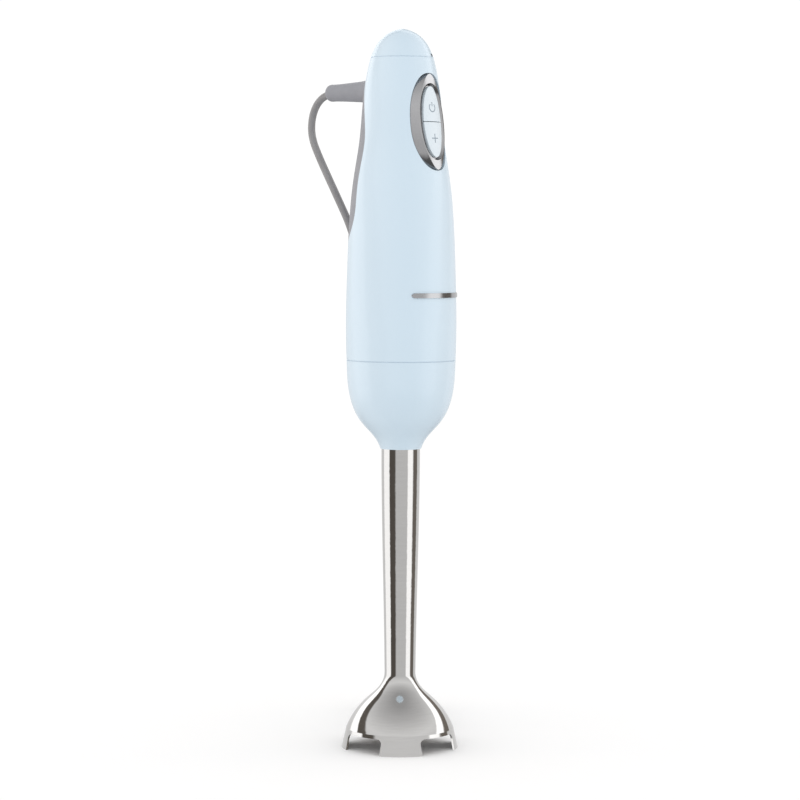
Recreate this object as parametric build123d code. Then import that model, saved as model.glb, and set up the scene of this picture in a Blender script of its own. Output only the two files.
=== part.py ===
"""Stick (immersion) blender: powered handle, twist-off blending foot, supply cord with plug.

Millimetres. +Z runs up the shaft axis, the floor under the guard's feet is z = 0, the buttons
face -Y and the cord leaves at +Y.
"""
import os
from math import copysign, cos, pi, radians, sin, tan

from build123d import *

# ---------------------------------------------------------------- driving dimensions
HEIGHT = 399.4
WALL = 2.2  # sleeve and collar walls
SHEET = 1.1  # stainless steel of the bell guard
TUBE_WALL = 1.0
FIT = 0.05  # gap between pieces that are pressed or screwed together
RUN = 0.05  # radial clearance of a shaft in its bearing
PROUD = 2.0  # how far a cutter stands out of what it cuts
FAR_OUT = 40.0  # more than any radius of the body

SEAM_TOP = 383.2  # sleeve's top deck, under the speed dial
SEAM_LOW = 217.0  # sleeve's lower edge, over the foot's collar
SEAM_GAP = 0.5
DECK = 2.6
COLLAR_LOW = 167.4
TUBE_TOP = 192.0
GUARD_TOP = 42.0

# outer outlines as (radius, height)
DIAL_LINE = [(17.35, 383.6), (16.0, 386.9), (13.6, 391.4), (9.6, 395.6), (0, HEIGHT)]
SLEEVE_LINE = [(30.3, SEAM_LOW), (30.7, 236), (30.1, 266), (28.9, 294), (26.8, 316),
               (23.4, 338.5), (22.0, 355), (17.5, SEAM_TOP)]
COLLAR_LINE = [(30.3, SEAM_LOW - SEAM_GAP), (29.75, 205), (27.8, 193.9), (22.5, 182.7),
               (14.0, 172.8), (11.4, COLLAR_LOW)]
TUBE_LINE = [(8.65, GUARD_TOP), (9.1, 70), (10.3, 126), (10.75, 160)]
GUARD_LINE = [(8.65, GUARD_TOP), (9.5, 37.4), (12.4, 32.8), (17.3, 28.3), (23.9, 21.5),
              (28.3, 14.7), (30.0, 11.0)]
SKIRT_LOW_R = 32.5
WINDOW_W, WINDOW_H, WINDOW_R, WINDOW_TURN = 25.7, 9.0, 3.0, -2.8  # openings between the guard's four feet

# the button panel: u across, v up the panel and w outwards from the bezel's crest
PANEL_TILT = 7.4
PANEL_Z = 347.9
PANEL_OUT = 23.3  # the bezel's crest in front of the axis at PANEL_Z
PANEL_CROWN = 30.0  # radius across the panel of the bezel's crest and of the buttons
BEZEL_A, BEZEL_B, BEZEL_POWER = 13.7, 26.8, 2.3  # half width, half height and squareness
# the bezel's sections from its seat to above its crest, as (w, half width, half height, squareness)
BEZEL_SECTIONS = [(-8.5, 13.7, 26.8, 2.3), (-6.0, 13.6, 26.8, 2.3), (-3.8, 12.3, 26.8, 2.1),
                  (-1.6, 10.2, 26.7, 1.9), (0.3, 8.8, 26.3, 1.8)]
BEZEL_SEAT = -8.5
OVAL_POINTS = 24
SKIRT_A, SKIRT_B, SKIRT_END = 10.2, 23.4, -11.0
OPEN_A, OPEN_B = 7.6, 20.1
BEVEL = ((0.5, 12.4, 21.4), (-2.7, 7.55, 20.05))  # the opening's bevel as (w, half width, half height)
TRAY_A, TRAY_B, TRAY_TOP, TRAY_FLOOR, TRAY_END = 7.2, 19.7, -2.2, -7.6, -9.4
BUTTON_A, BUTTON_B = 7.0, 19.5
BUTTON_SPLIT = 0.4
BUTTON_TOP, BUTTON_BACK, BUTTON_LOW = 0.6, -5.6, 0.35  # LOW is under the bezel's crest
STEM_V, STEM_R, STEM_MID, STEM_L = 10.0, 1.8, -8.3, 5.6
STEM_HOLE_R = 2.3
BOARD = (22.0, 50.0, 1.6)
BOARD_W = -17.8
SWITCH = (6.0, 6.0, 3.5)
SWITCH_W, KEY_W, KEY_R, KEY_L = -15.2, -13.2, 1.6, 0.9

GRIP_Z, GRIP_A, GRIP_B, GRIP_DEEP = 325.0, 26.3, 52.0, 1.3
# the soft grip's outline seen from behind, as (half width, height) from its foot to its top
GRIP_LINE = [(0, 273.0), (11.0, 275.0), (19.4, 281.0), (24.0, 286.3), (26.3, 295.0), (25.7, 308.0),
             (22.9, 332.0), (19.9, 352.0), (13.4, 369.3), (6.8, 375.2), (0, 377.0)]
BAR_Z, BAR_W, BAR_H, BAR_PROUD = 253.0, 38.0, 2.6, 0.6
INDEX_Z, INDEX_R, INDEX_PROUD, INDEX_TURN = 384.7, 0.8, 0.25, 24
SKIN = 0.02  # trim stands this far off the sleeve

# inner frame
FRAME_IN, FRAME_R, FRAME_LOW, FRAME_HIGH = 23.7, 25.2, 221.7, 306.0
FLANGE_IN, FLANGE_TOP = 20.8, 226.0
CROWN_IN, CROWN_LOW = 12.0, 303.0
FRAME_SPLIT = 0.1
BASE_R, BASE_LOW, BASE_TOP = 27.9, 217.2, 221.4
SPIGOT_IN, SPIGOT_R, SPIGOT_LOW = 14.0, 18.0, 203.5
TRACK_R, TRACK_LOW, TRACK_TOP = 16.3, 207.0, 211.0  # bayonet's groove in the spigot
ENTRY_WIDTH = 32.0  # degrees
SCREW_AT, SCREW_R, SCREW_HOLE_R, SCREW_TOP = 22.9, 1.3, 1.35, 226.0
HEAD_R, HEAD_LOW = 2.3, 215.2

# motor, from the fan upwards
CAN_R, CAN_WALL, CAN_LOW, CAN_TOP = 21.0, 1.5, 233.0, 293.0
CAN_VENT_R = 6.0
CAP_SPIGOT = (19.4, 291.6, 293.05)  # (radius, from, to)
CAP_PLATE = (21.0, 293.05, 295.5)
CAP_CUP = (8.5, 295.5, 299.5)
CAP_SEAT_R, CAP_SEAT_LOW = 6.55, 294.4
CAP_HOLE_R = 3.5
UPPER_BEARING = (6.5, 294.5, 298.5)
LOWER_BEARING = (7.0, 217.4, 221.2)
RACE_GAP, BALL_RIM = 0.4, 0.6
MAGNET_IN, MAGNET_LOW, MAGNET_TOP, MAGNET_WIDTH = 16.9, 238.0, 280.0, 140.0
RING_IN, RING_R, RING_H, RING_LOWS = 21.05, 23.65, 6.0, (236.0, 284.0)
BRUSH_Z = 287.7
HOLDER_X, HOLDER_HALF, HOLDER_WALL = (8.8, 18.6), 3.5, 1.0
BRUSH_X, BRUSH_Y, BRUSH_HALF = (7.15, 13.5), 2.2, 2.4
SPRING_X, SPRING_R, SPRING_IN, SPRING_L = 13.6, 1.9, 1.2, 4.6
CORE_R, CORE_LOW, CORE_TOP, CORE_SLOTS = 16.2, 242.0, 276.0, 12
SLOT_FROM, SLOT_HALF = 9.5, 1.1
COIL_IN, COIL_R, COIL_H = 6.5, 14.0, 5.45
COMM_R, COMM_LOW, COMM_TOP, COMM_FLOOR, COMM_HALF = 7.0, 283.5, 291.0, 5.6, 0.2
FAN_R, FAN_HUB, FAN_LOW, FAN_TOP, FAN_BLADES = 19.5, 4.5, 224.0, 231.0, 11
FAN_PLATE, FAN_BLADE_TOP, FAN_BLADE_IN, FAN_BLADE_HALF, FAN_LEAN = 1.2, 230.5, 8.0, 0.6, 12.0
ROTOR_R, ROTOR_LOW, ROTOR_TOP = 2.5, 210.0, 300.0

# coupling between the rotor and the foot's shaft
DOG_R, LUG_IN, LUG_WIDTH = 7.0, 3.2, 40.0
DOG_ANGLE = 60.0  # driven lugs ahead of the driving lugs at rest
UPPER_DISC, UPPER_LUGS, UPPER_HUB_R, UPPER_HUB_TOP = (208.8, 213.0), (203.6, 208.9), 4.5, 216.9
LOWER_DISC, LOWER_LUGS = (199.0, 203.2), (203.1, 208.4)
TWIST = 35.0  # bayonet's unlocking turn

# speed control under the dial
SPINDLE_R, SPINDLE_LOW, SPINDLE_TOP = 2.9, 372.5, 392.5
SPINDLE_FLAT, FLAT_LOW = 1.9, 386.0
DECK_HOLE_R = 3.4
POT_R, POT_LOW, POT_TOP, POT_BORE, POT_NECK = 8.0, 371.5, 378.5, 2.95, 3.3
DIAL_HUB_R, DIAL_HUB_LOW = 5.2, 385.0

# other electric parts
CAPACITOR = (4.5, 5.5, 340.0, 358.0)  # (y, radius, from, to)
CHOKE_Y, CHOKE_Z, CHOKE_R, CHOKE_WIRE = 3.0, 310.5, 7.0, 3.0
SINK = ((-12, 12), (13, 15), (318, 346))
TRANSISTOR = ((-5, 5), (8.4, 12.95), (322, 337))
CLAMP = ((-7, 7), (8, 15.3), (361, 370.4))
CLAMP_X, CLAMP_Y, CLAMP_BORE = 4.9, 11.5, 2.2
CLAMP_SCREW_R, CLAMP_HEAD_R, CLAMP_HOLE_R = 1.2, 2.0, 1.25
CLAMP_SCREW_LOW, CLAMP_HEAD = 361.5, (370.45, 371.4)
LEAD_Y, LEAD_L = 11.2, 8.6

# cord's strain relief, along +Y from the sleeve
BOOT_Z, BOOT_TIP = 365.7, 55.0
BOOT_LINE = [(8.6, 17.5), (7.2, 21.5), (6.1, 27), (5.4, 36), (4.9, 45), (4.75, 51)]
BOOT_END = [(4.75, 51), (4.2, 53.8), (2.4, BOOT_TIP)]
BOOT_HOLE_R, BOOT_NECK_R, BOOT_FLANGE_R = 5.0, 4.9, 6.0
NECK_Y, NECK_L, FLANGE_Y, FLANGE_L = 19.6, 5.6, 16.4, 1.6
BOOT_BORE = 9.0  # how deep the cord is moulded in

# foot
COLLAR_INSIDE = [(28.1, 217), (27.5, 205), (25.4, 195.5), (21.0, 189.5)]
COLLAR_BORE = 10.8
BAYONET_IN, BAYONET_R, BAYONET_LOW, BAYONET_TOP = 18.3, 22.0, 203.5, 214.0
RIM_IN, RIM_R, RIM_TOP = 21.5, 27.3, 205.4
LUG_R, LUG_ROOT, LUG_LOW, LUG_TOP, LUG_SPAN = 16.7, 18.6, 207.4, 210.6, 24.0
TUBE_R = 10.75
CARRIER_LINE = [(7.55, 52), (7.5, 42), (7.7, 37), (9.5, 33.4), (11.0, 31.2)]
SHAFT_R, SHAFT_LOW, SHAFT_TOP = 3.0, 12.6, 202.0
UPPER_BUSH = (9.7, 182.0, 191.5)
LOWER_BUSH = (6.0, 40.1, 51.5)
SEAL = (5.55, 31.6, 35.9)
CARRIER_WAIST = 4.2
GROOVE_R, GROOVE = 2.7, (180.8, 181.6)
CLIP_IN, CLIP_R, CLIP, CLIP_ARC = 2.72, 4.6, (180.85, 181.55), 300.0
BLADE_HUB_R, BLADE_LOW, BLADE_THICK = 6.0, 17.0, 1.5
BLADE_PLAN = [(0, -5.5), (12, -4.6), (19.0, -1.2), (20.0, 2.2), (12, 4.6), (0, 5.5)]
BLADE_BENDS = ((0, -9.0), (180, 8.0))  # (bearing, bend) of each wing, degrees
NUT_R, NUT_LOW, NUT_H = 4.8, 12.6, 3.4

# cord, hank and plug
CORD_D = 4.2
HANK_BEARING = 49.0  # the hank lies behind the guard, this far round from +Y towards +X
HANK_NEAR, HANK_FAR = 61.0, 106.0  # centres of the hank's two end loops, from the axis
HANK_WAIST = (HANK_NEAR + HANK_FAR) / 2
LOOP_R = 12.6  # inner turns' radius in the end loops
LOOP_OUT = LOOP_R + 1.5 * CORD_D
LOOP_HOLE = 9.0
HANK_TOP = 2 * CORD_D
WAIST_B = 9.3  # half width where the tie draws the turns in
TIE_L, TIE_THICK = 6.0, 1.0
PLUG_W, PLUG_H, PLUG_L = 18.0, 13.0, 26.0
PLUG_NEAR, PLUG_LOW = 88.0, HANK_TOP + 0.65
PLUG_EDGE, PLUG_END_EDGE = 4.0, 3.0
BLADE_GAP, BLADE_W, BLADE_T, BLADE_L, BLADE_ROOT = 12.7, 6.3, 1.5, 16.0, 6.0

# cord's route from the boot to the hank, (x, y, z)
ROUTE_HIGH = [(0, 46.0, 365.7), (0, 55.3, 365.6), (0, 63.4, 361.0), (0, 67.9, 352.7),
              (0, 68.3, 341.6), (0, 62.1, 329.6), (0.4, 49.8, 309.2), (2.0, 38.6, 288.6),
              (7.2, 36.3, 266.0), (16.0, 34.0, 243.0), (24.4, 29.4, 219.0),
              (28.6, 26.0, 191.0), (29.2, 25.0, 150.0), (28.4, 25.3, 104.0)]
# the same route goes on as (distance behind the axis, sideways, height) along the hank's bearing
ROUTE_LOW = [(38.6, 1.0, 66.0), (40.0, 4.0, 40.0), (46.5, 9.0, 22.5), (54.5, 13.6, 17.2),
             (63.0, 16.6, 14.6), (71.0, 14.6, 11.4), (78.3, 9.2, 8.4)]
# and from the hank, over its near loop and back, to the plug
ROUTE_TAIL = [(71.5, -7.4, 9.2), (65.1, -12.4, 10.4), (56.9, -12.6, 10.6), (50.3, -7.8, 10.6),
              (47.8, 0.0, 10.6), (50.3, 7.8, 10.6), (56.9, 12.6, 10.7), (65.1, 12.4, 10.9),
              (74.5, 6.2, 12.8), (83.0, 1.4, 15.0), (91.0, 0.0, 15.55)]


# ---------------------------------------------------------------- helpers
def tube(r_in, r_out, z0, z1):
    """Upright ring between two heights; a cylinder where r_in is 0."""
    upright = (Align.CENTER, Align.CENTER, Align.MIN)
    body = Cylinder(r_out, z1 - z0, align=upright)
    if r_in:
        body -= Cylinder(r_in, z1 - z0, align=upright)
    return Pos(0, 0, z0) * body


def along_y(x, y, z, radius, length):
    """Cylinder lying along Y, from its middle."""
    return Pos(x, y, z) * Rot(90, 0, 0) * Cylinder(radius, length)


def block(x, y, z):
    """Box from its three ranges."""
    size = [b - a for a, b in (x, y, z)]
    return Pos(x[0], y[0], z[0]) * Box(*size, align=(Align.MIN,) * 3)


def turned(line, *straight):
    """Solid of revolution: a smooth outline, then straight sides back to its start."""
    edges = Spline(*line) if len(line) > 2 else Line(*line)
    corners = [line[-1], *straight, line[0]]
    edges += Polyline(*corners)
    return revolve(make_face(Plane.XZ * edges), Axis.Z)


def inset(line, by):
    return [(r - by, z) for r, z in line]


def sector(r_in, r_out, z0, z1, centre, width):
    """Part of a ring, width degrees wide about a bearing."""
    start = centre - width / 2
    outer = CenterArc((0, 0), r_out, start, width)
    inner = CenterArc((0, 0), r_in, start, width)
    face = make_face(outer + inner + Line(outer @ 0, inner @ 0) + Line(outer @ 1, inner @ 1))
    return Pos(0, 0, z0) * extrude(face, z1 - z0)


def around(shape, count, start=0.0):
    return [Rot(0, 0, start + 360.0 * k / count) * shape for k in range(count)]


def without(body, cutters):
    for cutter in cutters:
        body -= cutter
    return body


def panel():
    """The button panel's plane: u to the right, v up the panel, w outwards."""
    t = radians(PANEL_TILT)
    return Plane(origin=(0, -PANEL_OUT, PANEL_Z), x_dir=(1, 0, 0), z_dir=(0, -cos(t), sin(t)))


def oval(a, b, low, high):
    """Oval prism square to the panel, between two distances from the crest plane."""
    return panel() * Pos(0, 0, low) * extrude(Ellipse(b, a, rotation=90), high - low)


def full_oval(w, a, b, power):
    """Face square to the panel at w: a superellipse, square at high powers, pointed at low ones."""
    points = []
    for k in range(OVAL_POINTS):
        across, up = cos(2 * pi * k / OVAL_POINTS), sin(2 * pi * k / OVAL_POINTS)
        points.append((copysign(a * abs(across) ** (2 / power), across),
                       copysign(b * abs(up) ** (2 / power), up)))
    return panel() * Pos(0, 0, w) * make_face(Spline(*points, periodic=True))


def crowned_panel(below=0.0):
    """Cylinder along the panel, that the bezel's crest and the buttons are cut to."""
    return panel() * along_y(0, 0, -PANEL_CROWN - below, PANEL_CROWN, 4 * BEZEL_B)


def outer_sleeve(by=0.0, low=SEAM_LOW, high=SEAM_TOP):
    """The sleeve's outside as a solid, or its inside when by is the wall."""
    body = turned(inset(SLEEVE_LINE, by), (0, SEAM_TOP), (0, SEAM_LOW))
    return body & tube(0, FAR_OUT, low, high)


def sleeve_skin(proud):
    """Thin layer just outside the sleeve, that trim is cut from."""
    return turned(inset(SLEEVE_LINE, -proud), (0, SEAM_TOP), (0, SEAM_LOW)) - outer_sleeve(-SKIN)


def on_bearing(point):
    """(distance behind the axis, sideways, height) along the hank's bearing to (x, y, z)."""
    away, side, z = point
    b = radians(HANK_BEARING)
    return (away * sin(b) + side * cos(b), away * cos(b) - side * sin(b), z)


def lying(shape):
    """Turns a piece built with +X away from the blender to the hank's bearing."""
    return Rot(0, 0, 90 - HANK_BEARING) * shape


# ---------------------------------------------------------------- handle
def boot_hole():
    return along_y(0, NECK_Y, BOOT_Z, BOOT_HOLE_R, 4 * NECK_L)


def handle_shell():
    body = outer_sleeve() - outer_sleeve(WALL, high=SEAM_TOP - DECK)
    body -= tube(0, DECK_HOLE_R, SEAM_TOP - 2 * DECK, SEAM_TOP + PROUD)
    outline = full_oval(2 * BEZEL_SEAT, BEZEL_A + FIT, BEZEL_B + FIT, BEZEL_POWER)
    body -= extrude(outline, PROUD - 2 * BEZEL_SEAT)
    return body - boot_hole() - grip_patch(FIT, proud=PROUD)


def grip_patch(gap=0.0, proud=0.0):
    """Egg-shaped patch of the sleeve's back, GRIP_DEEP thick."""
    slab = outer_sleeve(-proud) - outer_sleeve(GRIP_DEEP + gap)
    right = [(x * (1 + gap / GRIP_A), z + gap * (z - GRIP_Z) / GRIP_B) for x, z in GRIP_LINE]
    left = [(-x, z) for x, z in right[-2:0:-1]]
    outline = make_face(Spline(*right, *left, periodic=True))
    return slab & extrude(Plane.XZ.offset(-FAR_OUT) * outline, FAR_OUT)


def rear_grip():
    return grip_patch() - boot_hole()


def button_bezel():
    """Oval ring: steep at its sides, almost flush at its tips, with a narrow crowned crest."""
    ring = loft([full_oval(*section) for section in BEZEL_SECTIONS]) & crowned_panel()
    ring &= extrude(full_oval(BEZEL_SEAT, BEZEL_A, BEZEL_B, BEZEL_POWER), -2 * BEZEL_SEAT)
    skirt = oval(SKIRT_A, SKIRT_B, SKIRT_END, BEZEL_SEAT + 0.5)
    throat = oval(OPEN_A, OPEN_B, SKIRT_END - 1, 1)
    bevel = loft([panel() * Pos(0, 0, w) * Ellipse(b, a, rotation=90) for w, a, b in BEVEL])
    return ring + skirt - throat - bevel


def button_surround():
    tray = oval(OPEN_A - FIT, OPEN_B - FIT, TRAY_END, TRAY_TOP)
    tray -= oval(TRAY_A, TRAY_B, TRAY_FLOOR, 1)
    return without(tray, [panel() * Pos(0, v, TRAY_END) * Cylinder(STEM_HOLE_R, 4)
                          for v in (STEM_V, -STEM_V)])


def button(side):
    """One half of the oval pad, crowned across, with the stem that works its switch."""
    pad = oval(BUTTON_A, BUTTON_B, BUTTON_BACK, BUTTON_TOP)
    half = panel() * Pos(0, side * BEZEL_B, 0) * Box(40, 2 * BEZEL_B - BUTTON_SPLIT, 60)
    stem = panel() * Pos(0, side * STEM_V, STEM_MID) * Cylinder(STEM_R, STEM_L)
    return (pad & crowned_panel(BUTTON_LOW) & half) + stem


def name_bar():
    """Slim blank bar that follows the sleeve's front."""
    outline = Plane.XZ * Pos(0, BAR_Z) * SlotOverall(BAR_W, BAR_H)
    return sleeve_skin(BAR_PROUD) & extrude(outline, FAR_OUT)


def dial_outside(by):
    """The speed dial's outside as a solid, or its inside when by is the wall."""
    return turned(inset(DIAL_LINE[:-1], by) + [(0, HEIGHT - by)], (0, DIAL_LINE[0][1]))


def dial_index():
    """Small raised mark at the foot of the speed dial."""
    spot = along_y(0, -DIAL_LINE[0][0], INDEX_Z, INDEX_R, 8)
    return Rot(0, 0, INDEX_TURN) * ((dial_outside(-INDEX_PROUD) - dial_outside(-SKIN)) & spot)


def chassis_half(side):
    """Half of the frame that holds the motor, with flanges at both ends."""
    frame = tube(FRAME_IN, FRAME_R, FRAME_LOW, FRAME_HIGH)
    frame += tube(FLANGE_IN, FRAME_R, FRAME_LOW, FLANGE_TOP)
    frame += tube(CROWN_IN, FRAME_R, CROWN_LOW, FRAME_HIGH)
    half = (FRAME_SPLIT, FAR_OUT) if side > 0 else (-FAR_OUT, -FRAME_SPLIT)
    frame = frame & block((-FAR_OUT, FAR_OUT), half, (FRAME_LOW, FRAME_HIGH))
    return without(frame, socket_screw_holes())


def socket_screw_holes():
    hole = Pos(SCREW_AT, 0, 0) * tube(0, SCREW_HOLE_R, BASE_LOW - 1, SCREW_TOP + 1)
    return around(hole, 3, 90)


def foot_socket():
    """Base plate with the spigot that the foot's bayonet turns on."""
    body = tube(LOWER_BEARING[0] + FIT, BASE_R, BASE_LOW, BASE_TOP)
    body += tube(SPIGOT_IN, SPIGOT_R, SPIGOT_LOW, BASE_LOW)
    body -= tube(TRACK_R, SPIGOT_R + 0.5, TRACK_LOW, TRACK_TOP)
    entry = sector(TRACK_R, SPIGOT_R + 0.5, SPIGOT_LOW - 0.5, TRACK_LOW + 0.5, TWIST, ENTRY_WIDTH)
    return without(body, around(entry, 3) + socket_screw_holes())


def socket_screws():
    screw = tube(0, HEAD_R, HEAD_LOW, BASE_LOW - FIT) + tube(0, SCREW_R, BASE_LOW - FIT, SCREW_TOP)
    screw -= block((-1.8, 1.8), (-0.3, 0.3), (HEAD_LOW - 0.2, HEAD_LOW + 0.8))
    return around(Pos(SCREW_AT, 0, 0) * screw, 3, 90)


# ---------------------------------------------------------------- motor
def motor_can():
    body = tube(0, CAN_R, CAN_LOW, CAN_TOP)
    body -= tube(0, CAN_R - CAN_WALL, CAN_LOW + CAN_WALL, CAN_TOP + 1)
    return body - tube(0, CAN_VENT_R, CAN_LOW - 1, CAN_LOW + 2 * CAN_WALL)


def motor_end_cap():
    body = tube(0, *CAP_SPIGOT) + tube(0, *CAP_PLATE) + tube(0, *CAP_CUP)
    body -= tube(0, CAP_SEAT_R, CAP_SEAT_LOW, CAP_CUP[2] + 1)
    return body - tube(0, CAP_HOLE_R, CAP_SPIGOT[1] - 1, CAP_SEAT_LOW + 1)


def bearing(r_out, z0, z1):
    """Ball bearing: two races with a ring of balls between them, joined as one plain unit."""
    mid = (ROTOR_R + RUN + r_out) / 2
    races = tube(ROTOR_R + RUN, mid - RACE_GAP, z0, z1) + tube(mid + RACE_GAP, r_out, z0, z1)
    return races + tube(mid - BALL_RIM, mid + BALL_RIM, z0 + BALL_RIM, z1 - BALL_RIM)


def magnets():
    r_out = CAN_R - CAN_WALL - 0.1
    return [sector(MAGNET_IN, r_out, MAGNET_LOW, MAGNET_TOP, a, MAGNET_WIDTH) for a in (0, 180)]


def brush_span(half):
    return (BRUSH_Z - half, BRUSH_Z + half)


def brush_holders():
    bore = HOLDER_HALF - HOLDER_WALL
    holder = block(HOLDER_X, (-HOLDER_HALF, HOLDER_HALF), brush_span(HOLDER_HALF))
    holder -= block((HOLDER_X[0] - 1, HOLDER_X[1] + 1), (-bore, bore), brush_span(bore))
    return around(holder, 2)


def carbon_brushes():
    return around(block(BRUSH_X, (-BRUSH_Y, BRUSH_Y), brush_span(BRUSH_HALF)), 2)


def brush_springs():
    spring = tube(SPRING_IN, SPRING_R, 0, SPRING_L)
    return around(Pos(SPRING_X, 0, BRUSH_Z) * Rot(0, 90, 0) * spring, 2)


def mount_rings():
    return [tube(RING_IN, RING_R, z, z + RING_H) for z in RING_LOWS]


def slots(r_in, r_out, half, z0, z1):
    """Radial slots for a stack or a commutator."""
    return around(block((r_in, r_out + 1), (-half, half), (z0 - 1, z1 + 1)), CORE_SLOTS)


def rotor_core():
    """Laminated stack with its winding slots."""
    body = tube(ROTOR_R, CORE_R, CORE_LOW, CORE_TOP)
    return without(body, slots(SLOT_FROM, CORE_R, SLOT_HALF, CORE_LOW, CORE_TOP))


def rotor_windings():
    return [tube(COIL_IN, COIL_R, CORE_TOP + FIT, CORE_TOP + FIT + COIL_H),
            tube(COIL_IN, COIL_R, CORE_LOW - FIT - COIL_H, CORE_LOW - FIT)]


def commutator():
    body = tube(ROTOR_R, COMM_R, COMM_LOW, COMM_TOP)
    return without(body, slots(COMM_FLOOR, COMM_R, COMM_HALF, COMM_LOW, COMM_TOP))


def cooling_fan():
    body = tube(ROTOR_R, FAN_HUB, FAN_LOW, FAN_TOP)
    body += tube(FAN_HUB - 0.5, FAN_R, FAN_LOW, FAN_LOW + FAN_PLATE)
    vane = block((FAN_BLADE_IN, FAN_R), (-FAN_BLADE_HALF, FAN_BLADE_HALF),
                 (FAN_LOW + 1, FAN_BLADE_TOP))
    for placed in around(Rot(0, 0, FAN_LEAN) * vane, FAN_BLADES):
        body += placed
    return body


def dog(z_disc, z_lugs, centre):
    """Coupling half: a disc with two lugs."""
    body = tube(0, DOG_R, *z_disc)
    for turn in (0, 180):
        body += sector(LUG_IN, DOG_R, *z_lugs, centre + turn, LUG_WIDTH)
    return body


def drive_dog():
    hub = tube(0, UPPER_HUB_R, UPPER_DISC[1], UPPER_HUB_TOP)
    return dog(UPPER_DISC, UPPER_LUGS, 0) + hub - tube(0, ROTOR_R, ROTOR_LOW, UPPER_HUB_TOP + 1)


def shaft_dog():
    return dog(LOWER_DISC, LOWER_LUGS, DOG_ANGLE) - tube(0, SHAFT_R, LOWER_DISC[0] - 1, SHAFT_TOP)


# ---------------------------------------------------------------- electronics and dial
def control_board():
    return panel() * Pos(0, -6, BOARD_W) * Box(*BOARD)


def tact_switch(v):
    body = panel() * Pos(0, v, SWITCH_W) * Box(*SWITCH)
    return body + panel() * Pos(0, v, KEY_W) * Cylinder(KEY_R, KEY_L)


def speed_potentiometer():
    return tube(POT_BORE, POT_R, POT_LOW, POT_TOP) + tube(POT_BORE, POT_NECK, POT_TOP - 0.1, SEAM_TOP)


def dial_spindle():
    flat = block((-4, 4), (SPINDLE_FLAT, 4), (FLAT_LOW, SPINDLE_TOP + 1))
    return tube(0, SPINDLE_R, SPINDLE_LOW, SPINDLE_TOP) - flat


def speed_dial():
    low = DIAL_LINE[0][1]
    body = turned(DIAL_LINE, (0, low))
    inner = turned(inset(DIAL_LINE[:-1], WALL) + [(0, HEIGHT - WALL)], (0, low - 0.6))
    hub = tube(0, DIAL_HUB_R, DIAL_HUB_LOW, HEIGHT) & body
    return body - inner + hub - tube(0, SPINDLE_R, low - 1, SPINDLE_TOP)


def strain_relief():
    """Flared where it meets the sleeve, rounded at its tip, bored for the cord."""
    sides = Polyline(BOOT_END[-1], (0, BOOT_TIP), (0, BOOT_LINE[0][1]), BOOT_LINE[0])
    outline = Spline(*BOOT_LINE) + Spline(*BOOT_END) + sides
    body = revolve(make_face(Plane.XZ * outline), Axis.Z)
    body = Pos(0, 0, BOOT_Z) * Rot(-90, 0, 0) * body - outer_sleeve()
    body += along_y(0, NECK_Y, BOOT_Z, BOOT_NECK_R, NECK_L)
    body += along_y(0, FLANGE_Y, BOOT_Z, BOOT_FLANGE_R, FLANGE_L)
    return body - along_y(0, BOOT_TIP, BOOT_Z, CORD_D / 2, 2 * BOOT_BORE)


def at_clamp_screws(shape):
    return [Pos(x, CLAMP_Y, 0) * shape for x in (-CLAMP_X, CLAMP_X)]


def cord_clamp():
    body = block(*CLAMP) - along_y(0, CLAMP_Y, BOOT_Z, CLAMP_BORE, 12)
    return without(body, at_clamp_screws(tube(0, CLAMP_HOLE_R, CLAMP[2][0] - 1, CLAMP[2][1] + 1)))


def cord_clamp_screws():
    screw = tube(0, CLAMP_SCREW_R, CLAMP_SCREW_LOW, CLAMP_HEAD[0]) + tube(0, CLAMP_HEAD_R, *CLAMP_HEAD)
    return at_clamp_screws(screw)


def inner_lead():
    """Cord's inner end, from the boot through the clamp to the board."""
    return along_y(0, LEAD_Y, BOOT_Z, CORD_D / 2, LEAD_L)


# ---------------------------------------------------------------- foot
def foot_collar():
    body = turned(COLLAR_LINE, (0, COLLAR_LOW), (0, COLLAR_LINE[0][1]))
    body -= turned(COLLAR_INSIDE, (0, COLLAR_INSIDE[-1][1]), (0, COLLAR_INSIDE[0][1]))
    return body - tube(0, COLLAR_BORE, COLLAR_LOW - 1, COLLAR_INSIDE[-1][1] + 1)


def bayonet_ring():
    body = tube(BAYONET_IN, BAYONET_R, BAYONET_LOW, BAYONET_TOP)
    body += tube(RIM_IN, RIM_R, BAYONET_LOW, RIM_TOP)
    for lug in around(sector(LUG_R, LUG_ROOT, LUG_LOW, LUG_TOP, 0, LUG_SPAN), 3):
        body += lug
    return body


def shaft_tube():
    def filled(by, top):
        return turned(inset(TUBE_LINE, by), (TUBE_R - by, top), (0, top), (0, GUARD_TOP))
    return filled(0, TUBE_TOP) - filled(TUBE_WALL, TUBE_TOP + 1)


def guard_cavity():
    rim_r, rim_z = GUARD_LINE[-1]
    inner = inset(GUARD_LINE[:-1], SHEET) + [(rim_r - SHEET, rim_z - 0.2)]
    return turned(inner, (SKIRT_LOW_R - SHEET, -0.01), (0, -0.01), (0, GUARD_TOP))


def bell_guard():
    body = turned(GUARD_LINE, (SKIRT_LOW_R, 0), (0, 0), (0, GUARD_TOP)) - guard_cavity()
    window = Plane.XZ.offset(-FAR_OUT) * RectangleRounded(WINDOW_W, 2 * WINDOW_H, WINDOW_R)
    return without(body, [Rot(0, 0, turn) * extrude(window, 2 * FAR_OUT)
                          for turn in (WINDOW_TURN, WINDOW_TURN + 90)])


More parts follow.
